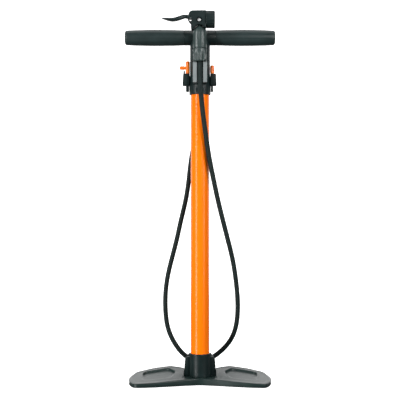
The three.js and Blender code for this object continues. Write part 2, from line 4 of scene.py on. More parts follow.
import bpy
import bmesh
import numpy as np
from mathutils import Matrix, Vector, geometry
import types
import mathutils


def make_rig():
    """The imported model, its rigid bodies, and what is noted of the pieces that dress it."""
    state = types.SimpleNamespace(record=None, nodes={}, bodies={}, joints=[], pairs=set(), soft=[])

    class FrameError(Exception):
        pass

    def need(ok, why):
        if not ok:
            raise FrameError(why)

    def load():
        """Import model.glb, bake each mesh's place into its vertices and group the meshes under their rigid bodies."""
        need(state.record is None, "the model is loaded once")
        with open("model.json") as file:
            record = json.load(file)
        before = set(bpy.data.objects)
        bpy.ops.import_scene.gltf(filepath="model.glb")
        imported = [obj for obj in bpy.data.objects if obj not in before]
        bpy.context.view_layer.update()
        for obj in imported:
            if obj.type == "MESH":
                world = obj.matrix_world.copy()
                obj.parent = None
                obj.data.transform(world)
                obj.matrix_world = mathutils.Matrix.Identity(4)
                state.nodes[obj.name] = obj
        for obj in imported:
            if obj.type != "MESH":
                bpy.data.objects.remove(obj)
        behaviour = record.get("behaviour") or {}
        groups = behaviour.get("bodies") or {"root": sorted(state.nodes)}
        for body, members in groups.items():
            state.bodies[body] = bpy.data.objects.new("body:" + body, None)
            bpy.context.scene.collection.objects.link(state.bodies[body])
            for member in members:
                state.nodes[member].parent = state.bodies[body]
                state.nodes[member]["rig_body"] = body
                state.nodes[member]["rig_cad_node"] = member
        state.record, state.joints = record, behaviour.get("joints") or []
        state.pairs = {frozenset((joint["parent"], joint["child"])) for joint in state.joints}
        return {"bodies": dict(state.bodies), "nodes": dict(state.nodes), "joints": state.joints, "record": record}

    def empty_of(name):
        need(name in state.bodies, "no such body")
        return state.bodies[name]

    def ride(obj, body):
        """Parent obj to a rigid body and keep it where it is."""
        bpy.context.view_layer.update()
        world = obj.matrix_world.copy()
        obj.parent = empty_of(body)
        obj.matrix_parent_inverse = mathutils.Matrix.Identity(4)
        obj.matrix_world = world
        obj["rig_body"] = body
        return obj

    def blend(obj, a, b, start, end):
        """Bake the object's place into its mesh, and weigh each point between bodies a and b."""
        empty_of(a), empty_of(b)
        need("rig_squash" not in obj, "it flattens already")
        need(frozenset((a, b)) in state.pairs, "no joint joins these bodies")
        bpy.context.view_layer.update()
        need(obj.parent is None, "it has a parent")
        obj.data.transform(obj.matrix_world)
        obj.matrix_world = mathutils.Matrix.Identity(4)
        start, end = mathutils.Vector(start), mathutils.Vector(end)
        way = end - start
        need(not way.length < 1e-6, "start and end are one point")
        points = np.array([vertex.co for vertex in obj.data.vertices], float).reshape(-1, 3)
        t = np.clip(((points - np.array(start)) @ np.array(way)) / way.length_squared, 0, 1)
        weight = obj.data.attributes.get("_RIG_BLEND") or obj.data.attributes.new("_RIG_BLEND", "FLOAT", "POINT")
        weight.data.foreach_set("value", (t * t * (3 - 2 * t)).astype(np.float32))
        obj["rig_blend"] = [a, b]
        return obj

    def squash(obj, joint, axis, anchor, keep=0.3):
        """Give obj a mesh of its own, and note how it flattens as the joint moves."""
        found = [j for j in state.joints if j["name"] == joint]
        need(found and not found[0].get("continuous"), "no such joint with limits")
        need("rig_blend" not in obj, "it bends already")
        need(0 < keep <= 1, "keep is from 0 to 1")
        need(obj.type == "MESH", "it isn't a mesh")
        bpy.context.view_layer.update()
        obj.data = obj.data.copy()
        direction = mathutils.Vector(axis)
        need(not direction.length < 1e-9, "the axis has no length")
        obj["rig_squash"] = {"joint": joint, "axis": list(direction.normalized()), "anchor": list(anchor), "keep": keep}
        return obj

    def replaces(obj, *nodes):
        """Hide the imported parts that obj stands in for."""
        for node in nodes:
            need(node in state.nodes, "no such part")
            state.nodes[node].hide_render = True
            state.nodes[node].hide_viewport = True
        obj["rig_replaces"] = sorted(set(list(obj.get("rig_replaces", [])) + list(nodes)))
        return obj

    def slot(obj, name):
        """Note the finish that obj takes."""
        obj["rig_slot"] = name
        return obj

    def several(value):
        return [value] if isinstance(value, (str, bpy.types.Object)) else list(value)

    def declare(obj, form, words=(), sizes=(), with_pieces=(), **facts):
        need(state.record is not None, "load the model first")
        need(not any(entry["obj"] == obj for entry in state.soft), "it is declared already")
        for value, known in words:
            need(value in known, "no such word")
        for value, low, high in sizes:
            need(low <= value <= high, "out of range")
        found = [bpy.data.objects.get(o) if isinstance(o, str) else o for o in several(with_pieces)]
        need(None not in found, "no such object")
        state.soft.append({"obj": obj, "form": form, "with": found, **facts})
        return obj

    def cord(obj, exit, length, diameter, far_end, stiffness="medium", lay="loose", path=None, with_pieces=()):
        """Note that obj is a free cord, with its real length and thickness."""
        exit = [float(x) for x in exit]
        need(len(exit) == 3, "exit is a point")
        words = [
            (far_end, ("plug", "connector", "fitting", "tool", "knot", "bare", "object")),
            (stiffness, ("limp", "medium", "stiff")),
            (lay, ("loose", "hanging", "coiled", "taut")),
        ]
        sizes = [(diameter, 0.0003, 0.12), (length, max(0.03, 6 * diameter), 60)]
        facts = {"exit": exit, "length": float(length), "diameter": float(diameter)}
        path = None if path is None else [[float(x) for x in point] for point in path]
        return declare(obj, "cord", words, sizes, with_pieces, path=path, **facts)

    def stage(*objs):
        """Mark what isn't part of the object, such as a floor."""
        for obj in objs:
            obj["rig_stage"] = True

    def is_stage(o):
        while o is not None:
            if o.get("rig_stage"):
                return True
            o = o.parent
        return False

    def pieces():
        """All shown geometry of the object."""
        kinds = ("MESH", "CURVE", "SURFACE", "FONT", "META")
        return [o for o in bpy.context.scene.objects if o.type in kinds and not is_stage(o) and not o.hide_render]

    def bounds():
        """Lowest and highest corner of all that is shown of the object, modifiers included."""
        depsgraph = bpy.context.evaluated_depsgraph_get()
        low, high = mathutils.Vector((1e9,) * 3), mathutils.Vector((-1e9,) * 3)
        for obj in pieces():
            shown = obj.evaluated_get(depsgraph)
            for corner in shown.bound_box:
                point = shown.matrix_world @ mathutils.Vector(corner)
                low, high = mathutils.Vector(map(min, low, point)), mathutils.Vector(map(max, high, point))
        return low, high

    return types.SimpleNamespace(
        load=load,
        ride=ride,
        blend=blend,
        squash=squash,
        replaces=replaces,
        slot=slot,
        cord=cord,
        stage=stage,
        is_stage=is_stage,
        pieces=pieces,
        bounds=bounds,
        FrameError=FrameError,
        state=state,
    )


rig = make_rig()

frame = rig.load()
cad_box = [list(map(float, c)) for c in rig.bounds()]
ROOT = "foot_and_barrel"

# ---------------- camera, world and light ----------------
cam_data = bpy.data.cameras.new("camera")
cam_data.lens, cam_data.sensor_width, cam_data.clip_end = 82.7, 36.0, 50
cam = bpy.data.objects.new("camera", cam_data)
cam.location, cam.rotation_euler = (0.0, -1.700, 0.338), (math.radians(90), 0, 0)
bpy.context.scene.collection.objects.link(cam)
bpy.context.scene.camera = cam
bpy.context.scene.view_settings.view_transform = "Standard"

world = bpy.data.worlds.new("studio")
bpy.context.scene.world = world
world.use_nodes = True
world.node_tree.nodes["Background"].inputs["Color"].default_value = (1, 1, 1, 1)
world.node_tree.nodes["Background"].inputs["Strength"].default_value = 0.13


def area(name, place, aim, size, power, colour=(1, 1, 1)):
    d = bpy.data.lights.new(name, "AREA")
    d.shape, d.size, d.size_y, d.energy, d.color = "RECTANGLE", size[0], size[1], power, colour
    o = bpy.data.objects.new(name, d)
    o.location = place
    o.rotation_euler = (Vector(aim) - Vector(place)).to_track_quat("-Z", "Y").to_euler()
    bpy.context.scene.collection.objects.link(o)
    return o


area("key", (-1.35, -1.25, 0.45), (0, 0, 0.4), (0.24, 2.4), 46)
area("front", (0.95, -1.95, 1.15), (0, 0, 0.35), (0.25, 0.9), 24)
area("fill", (1.5, -1.2, 0.7), (0, 0, 0.35), (0.3, 1.4), 13)
area("top", (0.0, 0.2, 2.1), (0, 0, 0.3), (1.4, 1.0), 11)


# ---------------- materials ----------------
def material(name, colour, rough, metal=0.0, vary=0.08, scale=60, bump=0.0, bump_scale=900, bump_dist=0.0002, rough_vary=0.06, coat=0.0, spec=0.5, second=None, wave=None):
    m = bpy.data.materials.new(name)
    m.use_nodes = True
    t, n = m.node_tree, m.node_tree.nodes
    b = n["Principled BSDF"]
    b.inputs["Metallic"].default_value = metal
    b.inputs["Specular IOR Level"].default_value = spec
    b.inputs["Coat Weight"].default_value = coat
    b.inputs["Coat Roughness"].default_value = 0.08
    where = n.new("ShaderNodeTexCoord")
    noise = n.new("ShaderNodeTexNoise")
    noise.inputs["Scale"].default_value, noise.inputs["Detail"].default_value = scale, 5
    t.links.new(where.outputs["Object"], noise.inputs["Vector"])
    ramp = n.new("ShaderNodeValToRGB")
    low = [c * (1 - vary) for c in colour]
    high = [min(1, c * (1 + vary)) for c in (second or colour)]
    ramp.color_ramp.elements[0].position, ramp.color_ramp.elements[1].position = 0.35, 0.65
    ramp.color_ramp.elements[0].color, ramp.color_ramp.elements[1].color = (*low, 1), (*high, 1)
    t.links.new(noise.outputs["Fac"], ramp.inputs["Fac"])
    t.links.new(ramp.outputs["Color"], b.inputs["Base Color"])
    span = n.new("ShaderNodeMapRange")
    span.inputs["To Min"].default_value, span.inputs["To Max"].default_value = max(0.02, rough - rough_vary), min(1, rough + rough_vary)
    t.links.new(noise.outputs["Fac"], span.inputs["Value"])
    t.links.new(span.outputs["Result"], b.inputs["Roughness"])
    if bump:
        grain = n.new("ShaderNodeTexNoise" if wave is None else "ShaderNodeTexWave")
        grain.inputs["Scale"].default_value = bump_scale if wave is None else wave[1]
        if wave is None:
            grain.inputs["Detail"].default_value = 3
        else:
            grain.bands_direction = wave[0]
            grain.inputs["Distortion"].default_value = 0.6
        t.links.new(where.outputs["Object"], grain.inputs["Vector"])
        bm = n.new("ShaderNodeBump")
        bm.inputs["Strength"].default_value, bm.inputs["Distance"].default_value = bump, bump_dist
        t.links.new(grain.outputs["Fac"], bm.inputs["Height"])
        t.links.new(bm.outputs["Normal"], b.inputs["Normal"])
    return m


M = {
    "paint": material("orange_paint", (0.99, 0.185, 0.0006), 0.25, vary=0.012, scale=14, rough_vary=0.02, spec=0.2, bump=0.05, bump_scale=500),
    "plastic": material("black_plastic", (0.0055, 0.0135, 0.0135), 0.42, spec=0.24, vary=0.18, scale=45, bump=0.22, bump_scale=1500, bump_dist=0.00012, rough_vary=0.07),
    "foot": material("foot_plastic", (0.007, 0.0185, 0.017), 0.37, spec=0.42, vary=0.16, scale=30, bump=0.35, bump_scale=1700, bump_dist=0.00014, rough_vary=0.05),
    "grey": material("grey_plastic", (0.028, 0.045, 0.043), 0.36, vary=0.10, scale=50, bump=0.2, bump_scale=1500, bump_dist=0.0001),
    "boot": material("boot_rubber", (0.025, 0.04, 0.038), 0.36, vary=0.14, scale=60, bump=0.25, bump_scale=1500, bump_dist=0.0001),
    # painted reflection: a light grey base colour that stands in for the light the flat front faces of the chuck dock
    # reflect, on a dark plastic
    "dock_reflection_grey": material("dock_painted_reflection", (0.175, 0.2, 0.203), 0.5, vary=0.05, scale=60, bump=0.18, bump_scale=1500, bump_dist=0.0001),
    "grip": material("grip_plastic", (0.0115, 0.0225, 0.0225), 0.42, spec=0.34, vary=0.15, scale=35, bump=0.3, bump_scale=1900, bump_dist=0.00014),
    "rubber": material("soft_rubber", (0.012, 0.014, 0.014), 0.75, vary=0.2, scale=60, bump=0.3, bump_scale=1500),
    "hose": material("hose_rubber", (0.009, 0.016, 0.0155), 0.6, spec=0.14, vary=0.15, scale=40, bump=0.25, bump_scale=1300, bump_dist=0.0001),
    "trim": material("gauge_trim", (0.012, 0.016, 0.016), 0.25, vary=0.1, scale=50, coat=0.3, bump=0.06, bump_scale=900),
    "dial": material("dial_white", (0.82, 0.82, 0.79), 0.5, vary=0.02, scale=80, bump=0.05),
    "ink": material("dial_ink", (0.01, 0.01, 0.01), 0.5, vary=0.1, scale=200, bump=0.05),
    "needle": material("needle_red", (0.6, 0.02, 0.012), 0.4, vary=0.05, scale=300, bump=0.05),
    "steel": material("polished_steel", (0.34, 0.35, 0.36), 0.3, 1.0, vary=0.06, scale=90, bump=0.12, wave=("Z", 700), bump_dist=0.00003),
    "pin": material("brushed_steel", (0.42, 0.43, 0.43), 0.42, 0.9, vary=0.06, scale=90, bump=0.12, bump_scale=1400, bump_dist=0.00004),
    "alu": material("turned_aluminium", (0.72, 0.73, 0.74), 0.33, 1.0, vary=0.05, scale=120, bump=0.12, wave=("Z", 900), bump_dist=0.00003),
    "brass": material("turned_brass", (0.62, 0.43, 0.15), 0.3, 1.0, vary=0.08, scale=120, bump=0.1, bump_scale=1500),
    "accent": material("orange_plastic", (1.0, 0.17, 0.008), 0.36, vary=0.04, scale=120, bump=0.12, bump_scale=1200, second=(1.0, 0.21, 0.012)),
}
glass = bpy.data.materials.new("clear_lens")
glass.use_nodes = True
g = glass.node_tree.nodes["Principled BSDF"]
g.inputs["Transmission Weight"].default_value, g.inputs["IOR"].default_value = 1.0, 1.3
_n = glass.node_tree.nodes.new("ShaderNodeTexNoise")
_n.inputs["Scale"].default_value = 40
_r = glass.node_tree.nodes.new("ShaderNodeMapRange")
_r.inputs["To Min"].default_value, _r.inputs["To Max"].default_value = 0.01, 0.05
glass.node_tree.links.new(_n.outputs["Fac"], _r.inputs["Value"])
glass.node_tree.links.new(_r.outputs["Result"], g.inputs["Roughness"])
M["glass"] = glass

floor_m = bpy.data.materials.new("floor")
floor_m.use_nodes = True
floor_m.node_tree.nodes["Principled BSDF"].inputs["Base Color"].default_value = (0.93, 0.93, 0.93, 1)
floor_m.node_tree.nodes["Principled BSDF"].inputs["Roughness"].default_value = 0.9
floor_m.node_tree.nodes["Principled BSDF"].inputs["Emission Color"].default_value = (1, 1, 1, 1)
floor_m.node_tree.nodes["Principled BSDF"].inputs["Emission Strength"].default_value = 0.75
back_m = floor_m.copy()
back_m.name = "backdrop"
back_m.node_tree.nodes["Principled BSDF"].inputs["Emission Strength"].default_value = 1.0


# ---------------- mesh helpers (all in mm, made into metres) ----------------
def make(name, verts, faces, mat, smooth=35):
    me = bpy.data.meshes.new(name)
    me.from_pydata([tuple(c * 0.001 for c in v) for v in verts], [], faces)
    bm = bmesh.new()
    bm.from_mesh(me)
    bmesh.ops.remove_doubles(bm, verts=bm.verts, dist=1e-7)
    bmesh.ops.recalc_face_normals(bm, faces=bm.faces)
    bm.to_mesh(me)
    bm.free()
    shade(me, smooth)
    me.materials.append(mat)
    o = bpy.data.objects.new(name, me)
    bpy.context.scene.collection.objects.link(o)
    return o


def shade(me, angle):
    me.polygons.foreach_set("use_smooth", [True] * len(me.polygons))
    me.set_sharp_from_angle(angle=math.radians(angle))


def bake(o, angle=35):
    """Applies the modifiers."""
    dg = bpy.context.evaluated_depsgraph_get()
    me = bpy.data.meshes.new_from_object(o.evaluated_get(dg), depsgraph=dg)
    mats = list(o.data.materials)
    o.modifiers.clear()
    o.data = me
    if not me.materials:
        for m in mats:
            me.materials.append(m)
    shade(me, angle)
    return o


def bevel(o, width, segments=3, angle=30):
    m = o.modifiers.new("bevel", "BEVEL")
    m.width, m.segments, m.limit_method, m.angle_limit = width * 0.001, segments, "ANGLE", math.radians(angle)
    m.harden_normals = False
    return bake(o)


def boolean(o, others, how="DIFFERENCE"):
    for c in others:
        m = o.modifiers.new("b", "BOOLEAN")
        m.operation, m.object, m.solver = how, c, "EXACT"
    bake(o)
    for c in others:
        bpy.data.objects.remove(c)
    return o


AX = {"Z": Matrix.Identity(3), "X": Matrix(((0, 0, 1), (0, 1, 0), (-1, 0, 0))), "Y": Matrix(((1, 0, 0), (0, 0, 1), (0, -1, 0)))}


def rounded(profile, r, steps=4):
    """The corners of an open profile, rounded with radius r where they fit."""
    out = [profile[0]]
    for i in range(1, len(profile) - 1):
        a, b, c = (Vector(p).to_2d() if not isinstance(p, Vector) else p for p in (profile[i - 1], profile[i], profile[i + 1]))
        u, v = a - b, c - b
        if u.length < 1e-6 or v.length < 1e-6:
            continue
        cut = min(r, u.length * 0.45, v.length * 0.45)
        turn = u.angle(v)
        if turn > math.radians(172):
            out.append(tuple(b))
            continue
        p, q = b + u.normalized() * cut, b + v.normalized() * cut
        for k in range(steps + 1):
            t = k / steps
            out.append(tuple(p * (1 - t) ** 2 + b * 2 * t * (1 - t) + q * t * t))
    out.append(profile[-1])
    return out


def turned(name, profile, mat, axis="Z", at=(0, 0, 0), seg=96, closed=False, scale=(1, 1), smooth=35, turn=None, wobble=None):
    """A profile of (r, height) turned about an axis."""
    pts = [tuple(p) for p in profile]
    rot = turn or AX[axis]
    verts, faces, rings = [], [], []
    for r, h in pts:
        if r < 1e-6:
            rings.append([len(verts)])
            verts.append(tuple(rot @ Vector((0, 0, h)) + Vector(at)))
        else:
            row = []
            for k in range(seg):
                a = 2 * math.pi * k / seg
                rr = r + (wobble(r, h, a) if wobble else 0)
                row.append(len(verts))
                verts.append(tuple(rot @ Vector((rr * scale[0] * math.cos(a), rr * scale[1] * math.sin(a), h)) + Vector(at)))
            rings.append(row)
    pairs = list(zip(rings, rings[1:])) + ([(rings[-1], rings[0])] if closed else [])
    for p, q in pairs:
        if len(p) == 1 and len(q) == 1:
            continue
        for k in range(seg):
            j = (k + 1) % seg
            if len(p) == 1:
                faces.append((p[0], q[j], q[k]))
            elif len(q) == 1:
                faces.append((p[k], p[j], q[0]))
            else:
                faces.append((p[k], p[j], q[j], q[k]))
    return make(name, verts, faces, mat, smooth)


def spline(points, n, closed=False):
    """Centripetal Catmull-Rom through the points, n samples spaced evenly."""
    P = [np.array(p, float) for p in points]
    if closed:
        P = [P[-1], *P, P[0], P[1]]
    else:
        P = [2 * P[0] - P[1], *P, 2 * P[-1] - P[-2]]
    out = []
    for i in range(1, len(P) - 2):
        p0, p1, p2, p3 = P[i - 1 : i + 3]
        t0 = 0.0
        t1 = t0 + np.linalg.norm(p1 - p0) ** 0.5
        t2 = t1 + np.linalg.norm(p2 - p1) ** 0.5
        t3 = t2 + np.linalg.norm(p3 - p2) ** 0.5
        for t in np.linspace(t1, t2, 24, endpoint=False):
            a1 = (t1 - t) / (t1 - t0) * p0 + (t - t0) / (t1 - t0) * p1
            a2 = (t2 - t) / (t2 - t1) * p1 + (t - t1) / (t2 - t1) * p2
            a3 = (t3 - t) / (t3 - t2) * p2 + (t - t2) / (t3 - t2) * p3
            b1 = (t2 - t) / (t2 - t0) * a1 + (t - t0) / (t2 - t0) * a2
            b2 = (t3 - t) / (t3 - t1) * a2 + (t - t1) / (t3 - t1) * a3
            out.append((t2 - t) / (t2 - t1) * b1 + (t - t1) / (t2 - t1) * b2)
    if not closed:
        out.append(P[-2])
    L = np.array(out)
    if closed:
        L = np.vstack([L, L[:1]])
    s = np.concatenate([[0], np.cumsum(np.linalg.norm(np.diff(L, axis=0), axis=1))])
    at = np.linspace(0, s[-1], n + 1 if closed else n)
    Q = np.stack([np.interp(at, s, L[:, k]) for k in range(L.shape[1])], axis=1)
    return (Q[:-1] if closed else Q), float(s[-1])


def slab(name, outline, lo, hi, mat, axis="Y", round_edge=0.0, segments=3):
    """An outline pulled along an axis: (x, z) along Y, (x, y) along Z, (y, z) along X."""
    put = {"Y": lambda a, b, c: (a, c, b), "Z": lambda a, b, c: (a, b, c), "X": lambda a, b, c: (c, a, b)}[axis]
    n = len(outline)
    verts = [put(a, b, lo) for a, b in outline] + [put(a, b, hi) for a, b in outline]
    faces = [tuple(range(n)), tuple(range(2 * n - 1, n - 1, -1))] + [(i, (i + 1) % n, n + (i + 1) % n, n + i) for i in range(n)]
    o = make(name, verts, faces, mat)
    return bevel(o, round_edge, segments) if round_edge else o


def done(o, body, *nodes, slot=None):
    if body:
        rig.ride(o, body)
    if nodes:
        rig.replaces(o, *nodes)
    if slot:
        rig.slot(o, slot)
    return o


# ---------------- the hose first: it leaves the outlet at the back of the cap ----------------
HOSE = [[0, -30.6, 589.6], [0, -30.6, 570], [0.3, -30.4, 548], [2.2, -29.8, 525], [4.6, -28.6, 500], [8.8, -26.4, 470], [12.8, -23.4, 440], [17.4, -19.4, 411.5], [25.1, -13.5, 374.7], [32.9, -7.4, 338], [42.2, -1.2, 301], [51.8, 5.6, 263.7], [61.2, 12.8, 226.6], [67.2, 20.4, 188.6], [71.1, 28, 150],
    [71.2, 33, 124], [68.8, 38, 99.5], [61.4, 42.6, 76], [49.6, 46.6, 59.4], [36.8, 49.6, 47.4], [19, 52.2, 33.6], [0, 53.2, 29.6], [-19, 52.4, 33.2], [-36.6, 50.4, 47.8], [-52.2, 47.6, 72], [-61, 44.8, 91.8], [-65.2, 42.2, 122], [-65.7, 40.4, 160], [-60.8, 38.8, 197], [-53, 37.6, 228], [-43.6, 36.6, 264], [-36, 35.8, 300.2], [-26.6, 35, 338], [-21, 34, 375.8], [-17.8, 33.2, 408],
    [-12, 32.4, 440], [-5, 31.6, 470], [-0.8, 31, 500], [0, 31, 525.7]]
route, hose_mm = spline(HOSE, 460)
# smoothed a little, as a hose of one stiffness lies
for _ in range(70):
    inner = route[1:-1] + 0.5 * ((route[:-2] + route[2:]) / 2 - route[1:-1])
    route[1:-1] = inner
hose_len = float(np.linalg.norm(np.diff(route, axis=0), axis=1).sum()) / 1000


def tube(name, line, r, mat, sides=20):
    line = np.array(line, float)
    tan = np.gradient(line, axis=0)
    tan /= np.linalg.norm(tan, axis=1)[:, None]
    up = np.array([1.0, 0, 0]) if abs(tan[0][0]) < 0.9 else np.array([0, 1.0, 0])
    verts, faces = [], []
    for i, (p, t) in enumerate(zip(line, tan)):
        up = up - t * up.dot(t)
        up /= np.linalg.norm(up)
        side = np.cross(t, up)
        for k in range(sides):
            a = 2 * math.pi * k / sides
            verts.append(tuple(p + r * (math.cos(a) * up + math.sin(a) * side)))
    for i in range(len(line) - 1):
        for k in range(sides):
            j = (k + 1) % sides
            faces.append((i * sides + k, i * sides + j, (i + 1) * sides + j, (i + 1) * sides + k))
    n = (len(line) - 1) * sides
    faces += [tuple(range(sides))[::-1], tuple(range(n, n + sides))]
    return make(name, verts, faces, mat)


hose = tube("hose_tube", route, 4.5, M["hose"])
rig.replaces(hose, "hose")
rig.slot(hose, "soft_rubber")
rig.blend(hose, ROOT, "chuck", start=(0, -0.014, 0.36), end=(0, -0.0306, 0.58))
# the share that follows the chuck goes by the length along the hose, so its section stays round
share = []
s_along = np.concatenate([[0], np.cumsum(np.linalg.norm(np.diff(route, axis=0), axis=1))])
co = np.array([v.co for v in hose.data.vertices]) * 1000
ring_no = np.array([int(np.argmin(((route - c) ** 2).sum(1))) for c in co])
t = np.clip(1 - (s_along[ring_no] - 20) / 230, 0, 1)
hose.data.attributes["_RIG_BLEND"].data.foreach_set("value", (t * t * (3 - 2 * t)).astype(np.float32))

# the valve spring, which shortens as the poppet moves down
turns = [(3 * math.cos(a), 3 * math.sin(a), 19.4 + 4.1 * a / (6 * math.pi)) for a in np.linspace(0, 6 * math.pi, 145)]
spring = tube("valve_spring_coil", turns, 0.35, M["steel"], 12)
done(spring, ROOT, "check_valve_spring", slot="steel")
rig.squash(spring, "check_valve_lift", (0, 0, 1), (0, 0, 0.01905), keep=0.7)

# ---------------- foot ----------------
REAR = np.array([[31, 20.4], [40, 22.0], [56, 23.3], [85, 19.6], [96, 18], [105, 16.4], [116, 15], [135, 13.2]], float)
half = [[27, -32], [63, -42.5], [90, -49], [108, -51], [115, -50.6], [119, -48], [123, -39], [126, -30], [128, -21], [130, -5], [129.6, 4], [121.5, 34], [116, 40.5], [105, 45], [96, 48], [85, 50], [58, 51], [40, 48.6], [30, 47]]
rough_outline = [[0, -26], *half, *[[-x, y] for x, y in reversed(half)]]


def chaikin(points, times, n, w=0.18):
    """Corners cut a few times, so that an outline keeps its straight runs; n points, evenly spaced."""
    q = np.array(points, float)
    for _ in range(times):
        nxt = np.roll(q, -1, axis=0)
        q = np.stack([(1 - w) * q + w * nxt, w * q + (1 - w) * nxt], 1).reshape(-1, 2)
    q = np.vstack([q, q[:1]])
    s = np.concatenate([[0], np.cumsum(np.linalg.norm(np.diff(q, axis=0), axis=1))])
    at = np.linspace(0, s[-1], n + 1)[:-1]
    return np.stack([np.interp(at, s, q[:, k]) for k in (0, 1)], 1)


edge = chaikin(rough_outline, 3, 300)
edge[:, 0] *= 131.4 / edge[:, 0].max()
edge[:, 0] = np.clip(edge[:, 0], -131.4, 131.4)
edge[:, 1] = np.clip(edge[:, 1], -51, 51)
recess = [[107, 29.5], [61, 36], [45, 19], [51, -12], [60, -18], [98, -25], [107, -18]]


def poly_distance(p, poly):
    """Distance to a closed outline, negative inside."""
    a, b = poly, np.roll(poly, -1, axis=0)
    ab = b - a
    d = p[:, None] - a
    t = np.clip((d * ab).sum(2) / (ab * ab).sum(1), 0, 1)
    dist = np.linalg.norm(d - t[..., None] * ab, axis=2).min(1)
    x, y = p[:, 0:1], p[:, 1:2]
    cross = (a[:, 1] > y) != (b[:, 1] > y)
    xi = a[:, 0] + (y - a[:, 1]) / np.where(b[:, 1] == a[:, 1], 1e-9, b[:, 1] - a[:, 1]) * (b[:, 0] - a[:, 0])
    inside = (cross & (x < xi)).sum(1) % 2 == 1
    return np.where(inside, -dist, dist)


def soft(t):
    t = np.clip(t, 0, 1)
    return t * t * (3 - 2 * t)


recess_outlines = []
for s in (1, -1):
    r = chaikin([[s * x, y] for x, y in recess], 3, 120, 0.11)
    recess_outlines.append(r)


def top_height(p):
    ax = np.abs(p[:, 0])
    front = 10.5 - 0.0446 * (ax - 52)
    yf = -26 - 0.22 * np.minimum(ax, 110)
    t = np.clip((p[:, 1] - yf) / (50 - yf), 0, 1)
    z = front + (np.interp(ax, REAR[:, 0], REAR[:, 1]) - front) * t
    d = -poly_distance(p, edge)
    # rounded edge, tighter along the front
    rr = 1.9 + 2.6 * soft((p[:, 1] + 36) / 30)
    rim = np.minimum(d, rr)
    z = z - (rr - np.sqrt(np.maximum(0, rr**2 - (rr - rim) ** 2))) * 0.75
    # a fine step inside the rim, as a moulded lip
    z = z - 0.35 * soft((d - 6.5) / 1.5)
    for r in recess_outlines:
        sd = poly_distance(p, r)
        # steep at the back, soft at the front
        run = 1.5 + 7.0 * soft((20 - p[:, 1]) / 26)
        z = z - 3.3 * soft(-sd / run + 0.15)
    hole = (ax < 29.9) & (p[:, 1] > -20.2)
    return np.where(hole, np.minimum(z, 12.0), z)


def foot_plate():
    pts = [tuple(p) for p in edge]
    n = len(pts)
    edges = [(i, (i + 1) % n) for i in range(n)]
    centre = edge.mean(0)
    nrm = np.roll(edge, -1, axis=0) - np.roll(edge, 1, axis=0)
    nrm = np.stack([-nrm[:, 1], nrm[:, 0]], 1) / np.linalg.norm(nrm, axis=1)[:, None]
    for d in (0.3, 0.7, 1.3, 2.0, 3.0, 4.6, 6.6, 8.0):
        q = edge + nrm * d
        ok = np.abs(-poly_distance(q, edge) - d) < 0.15 * d + 0.05
        pts += [tuple(v) for v, k in zip(q, ok) if k]
    for r in recess_outlines:
        rn = np.roll(r, -1, axis=0) - np.roll(r, 1, axis=0)
        rn = np.stack([-rn[:, 1], rn[:, 0]], 1) / np.linalg.norm(rn, axis=1)[:, None]
        if poly_distance(r[:1] + rn[:1] * 0.5, r)[0] > 0:
            rn = -rn
        for d in (-0.6, 0.3, 1.1, 1.9, 2.8):
            pts += [tuple(v) for v in r + rn * d]
    for x in (-30.4, -29.6, 29.6, 30.4):
        pts += [(x, y) for y in np.arange(-19, 46, 3.0)]
    gx, gy = np.meshgrid(np.arange(-128, 128.1, 2.6), np.arange(-50, 50.1, 2.6))
    grid = np.stack([gx.ravel(), gy.ravel()], 1)
    known = np.array(pts)
    grid = grid[-poly_distance(grid, edge) > 8.6]
    far = np.array([((known - g) ** 2).sum(1).min() > 1.6**2 for g in grid])
    pts += [tuple(g) for g in grid[far]]
    vs, _, fs, _, _, _ = geometry.delaunay_2d_cdt([Vector(p) for p in pts], edges, [], 1, 1e-5)
    P = np.array([tuple(v) for v in vs])
    top = top_height(P)
    d = -poly_distance(P, edge)
    # the underside: a shell with a rim, cross ribs and bosses under the pads and screws
    hollow = soft((d - 4.5) / 2.0) * (np.abs(P[:, 0]) > 32)
    for x in (46, 62, 78, 94):
        hollow *= 1 - soft((1.9 - np.abs(np.abs(P[:, 0]) - x)) / 0.9)
    for cx, cy in ((109, -41), (106, 34)):
        hollow *= soft((np.hypot(np.abs(P[:, 0]) - cx, P[:, 1] - cy) - 9) / 1.5)
    low = 0.4 + (np.maximum(top - 3.4, 1.2) - 0.4) * hollow
    m = len(P)
    # the side wall leans in towards the floor
    into = np.zeros_like(P)
    at_edge = d < 0.05
    near = np.array([int(((edge - q) ** 2).sum(1).argmin()) for q in P[at_edge]])
    into[at_edge] = nrm[near] * 1.1
    verts = [(x, y, z) for (x, y), z in zip(P, top)] + [(x, y, z) for (x, y), z in zip(P + into, low)]
    faces = [tuple(f) for f in fs] + [tuple(m + i for i in reversed(f)) for f in fs]
    seen = {}
    for f in fs:
        for a, b in zip(f, [*f[1:], f[0]]):
            seen[(a, b)] = seen.get((a, b), 0) + 1
    for a, b in list(seen):
        if (b, a) not in seen:
            faces.append((b, a, m + a, m + b))
    return make("foot_plate", verts, faces, M["foot"], 42)


done(foot_plate(), ROOT, "base_plate", slot="black_plastic")
done(turned("barrel_socket_shell", [(17.15, 17.2), (17.15, 54.8), (17.4, 55.0), (18.7, 55.0), (19.3, 54.7), (19.5, 54.0), (19.4, 52), (19.0, 47), (18.9, 40), (19, 20), (18.8, 12.6), (18.4, 12.3), (0.01, 12.3), (0.01, 17.2)], M["plastic"], closed=True), ROOT, "barrel_socket", slot="black_plastic")

